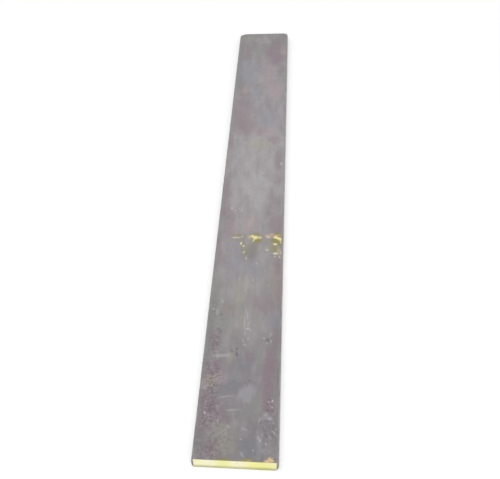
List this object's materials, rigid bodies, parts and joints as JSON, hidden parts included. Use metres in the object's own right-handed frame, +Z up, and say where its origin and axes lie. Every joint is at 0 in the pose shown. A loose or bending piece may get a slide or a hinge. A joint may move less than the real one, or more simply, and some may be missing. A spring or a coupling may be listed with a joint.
{
  "type": "flat steel bar",
  "caption": "Flat bar of hot-rolled steel with rounded long corners, sheared ends a little out of square, and yellow marking paint on one end and across the top.",
  "frame": {"origin": "centre of the underside", "axes": "+X across the width, +Y along the length away from the painted end, +Z up through the thickness"},
  "size_m": [0.0508, 0.6093, 0.0063],
  "materials": {
    "mill_scale_steel": "hot-rolled mill scale in grey with mauve, blue-grey and olive heat tints, satin, with yellow marking paint on the near end face and in dabs across the top"
  },
  "bodies": {
    "root": {"flat_bar": "mill_scale_steel"}
  },
  "joints": []
}
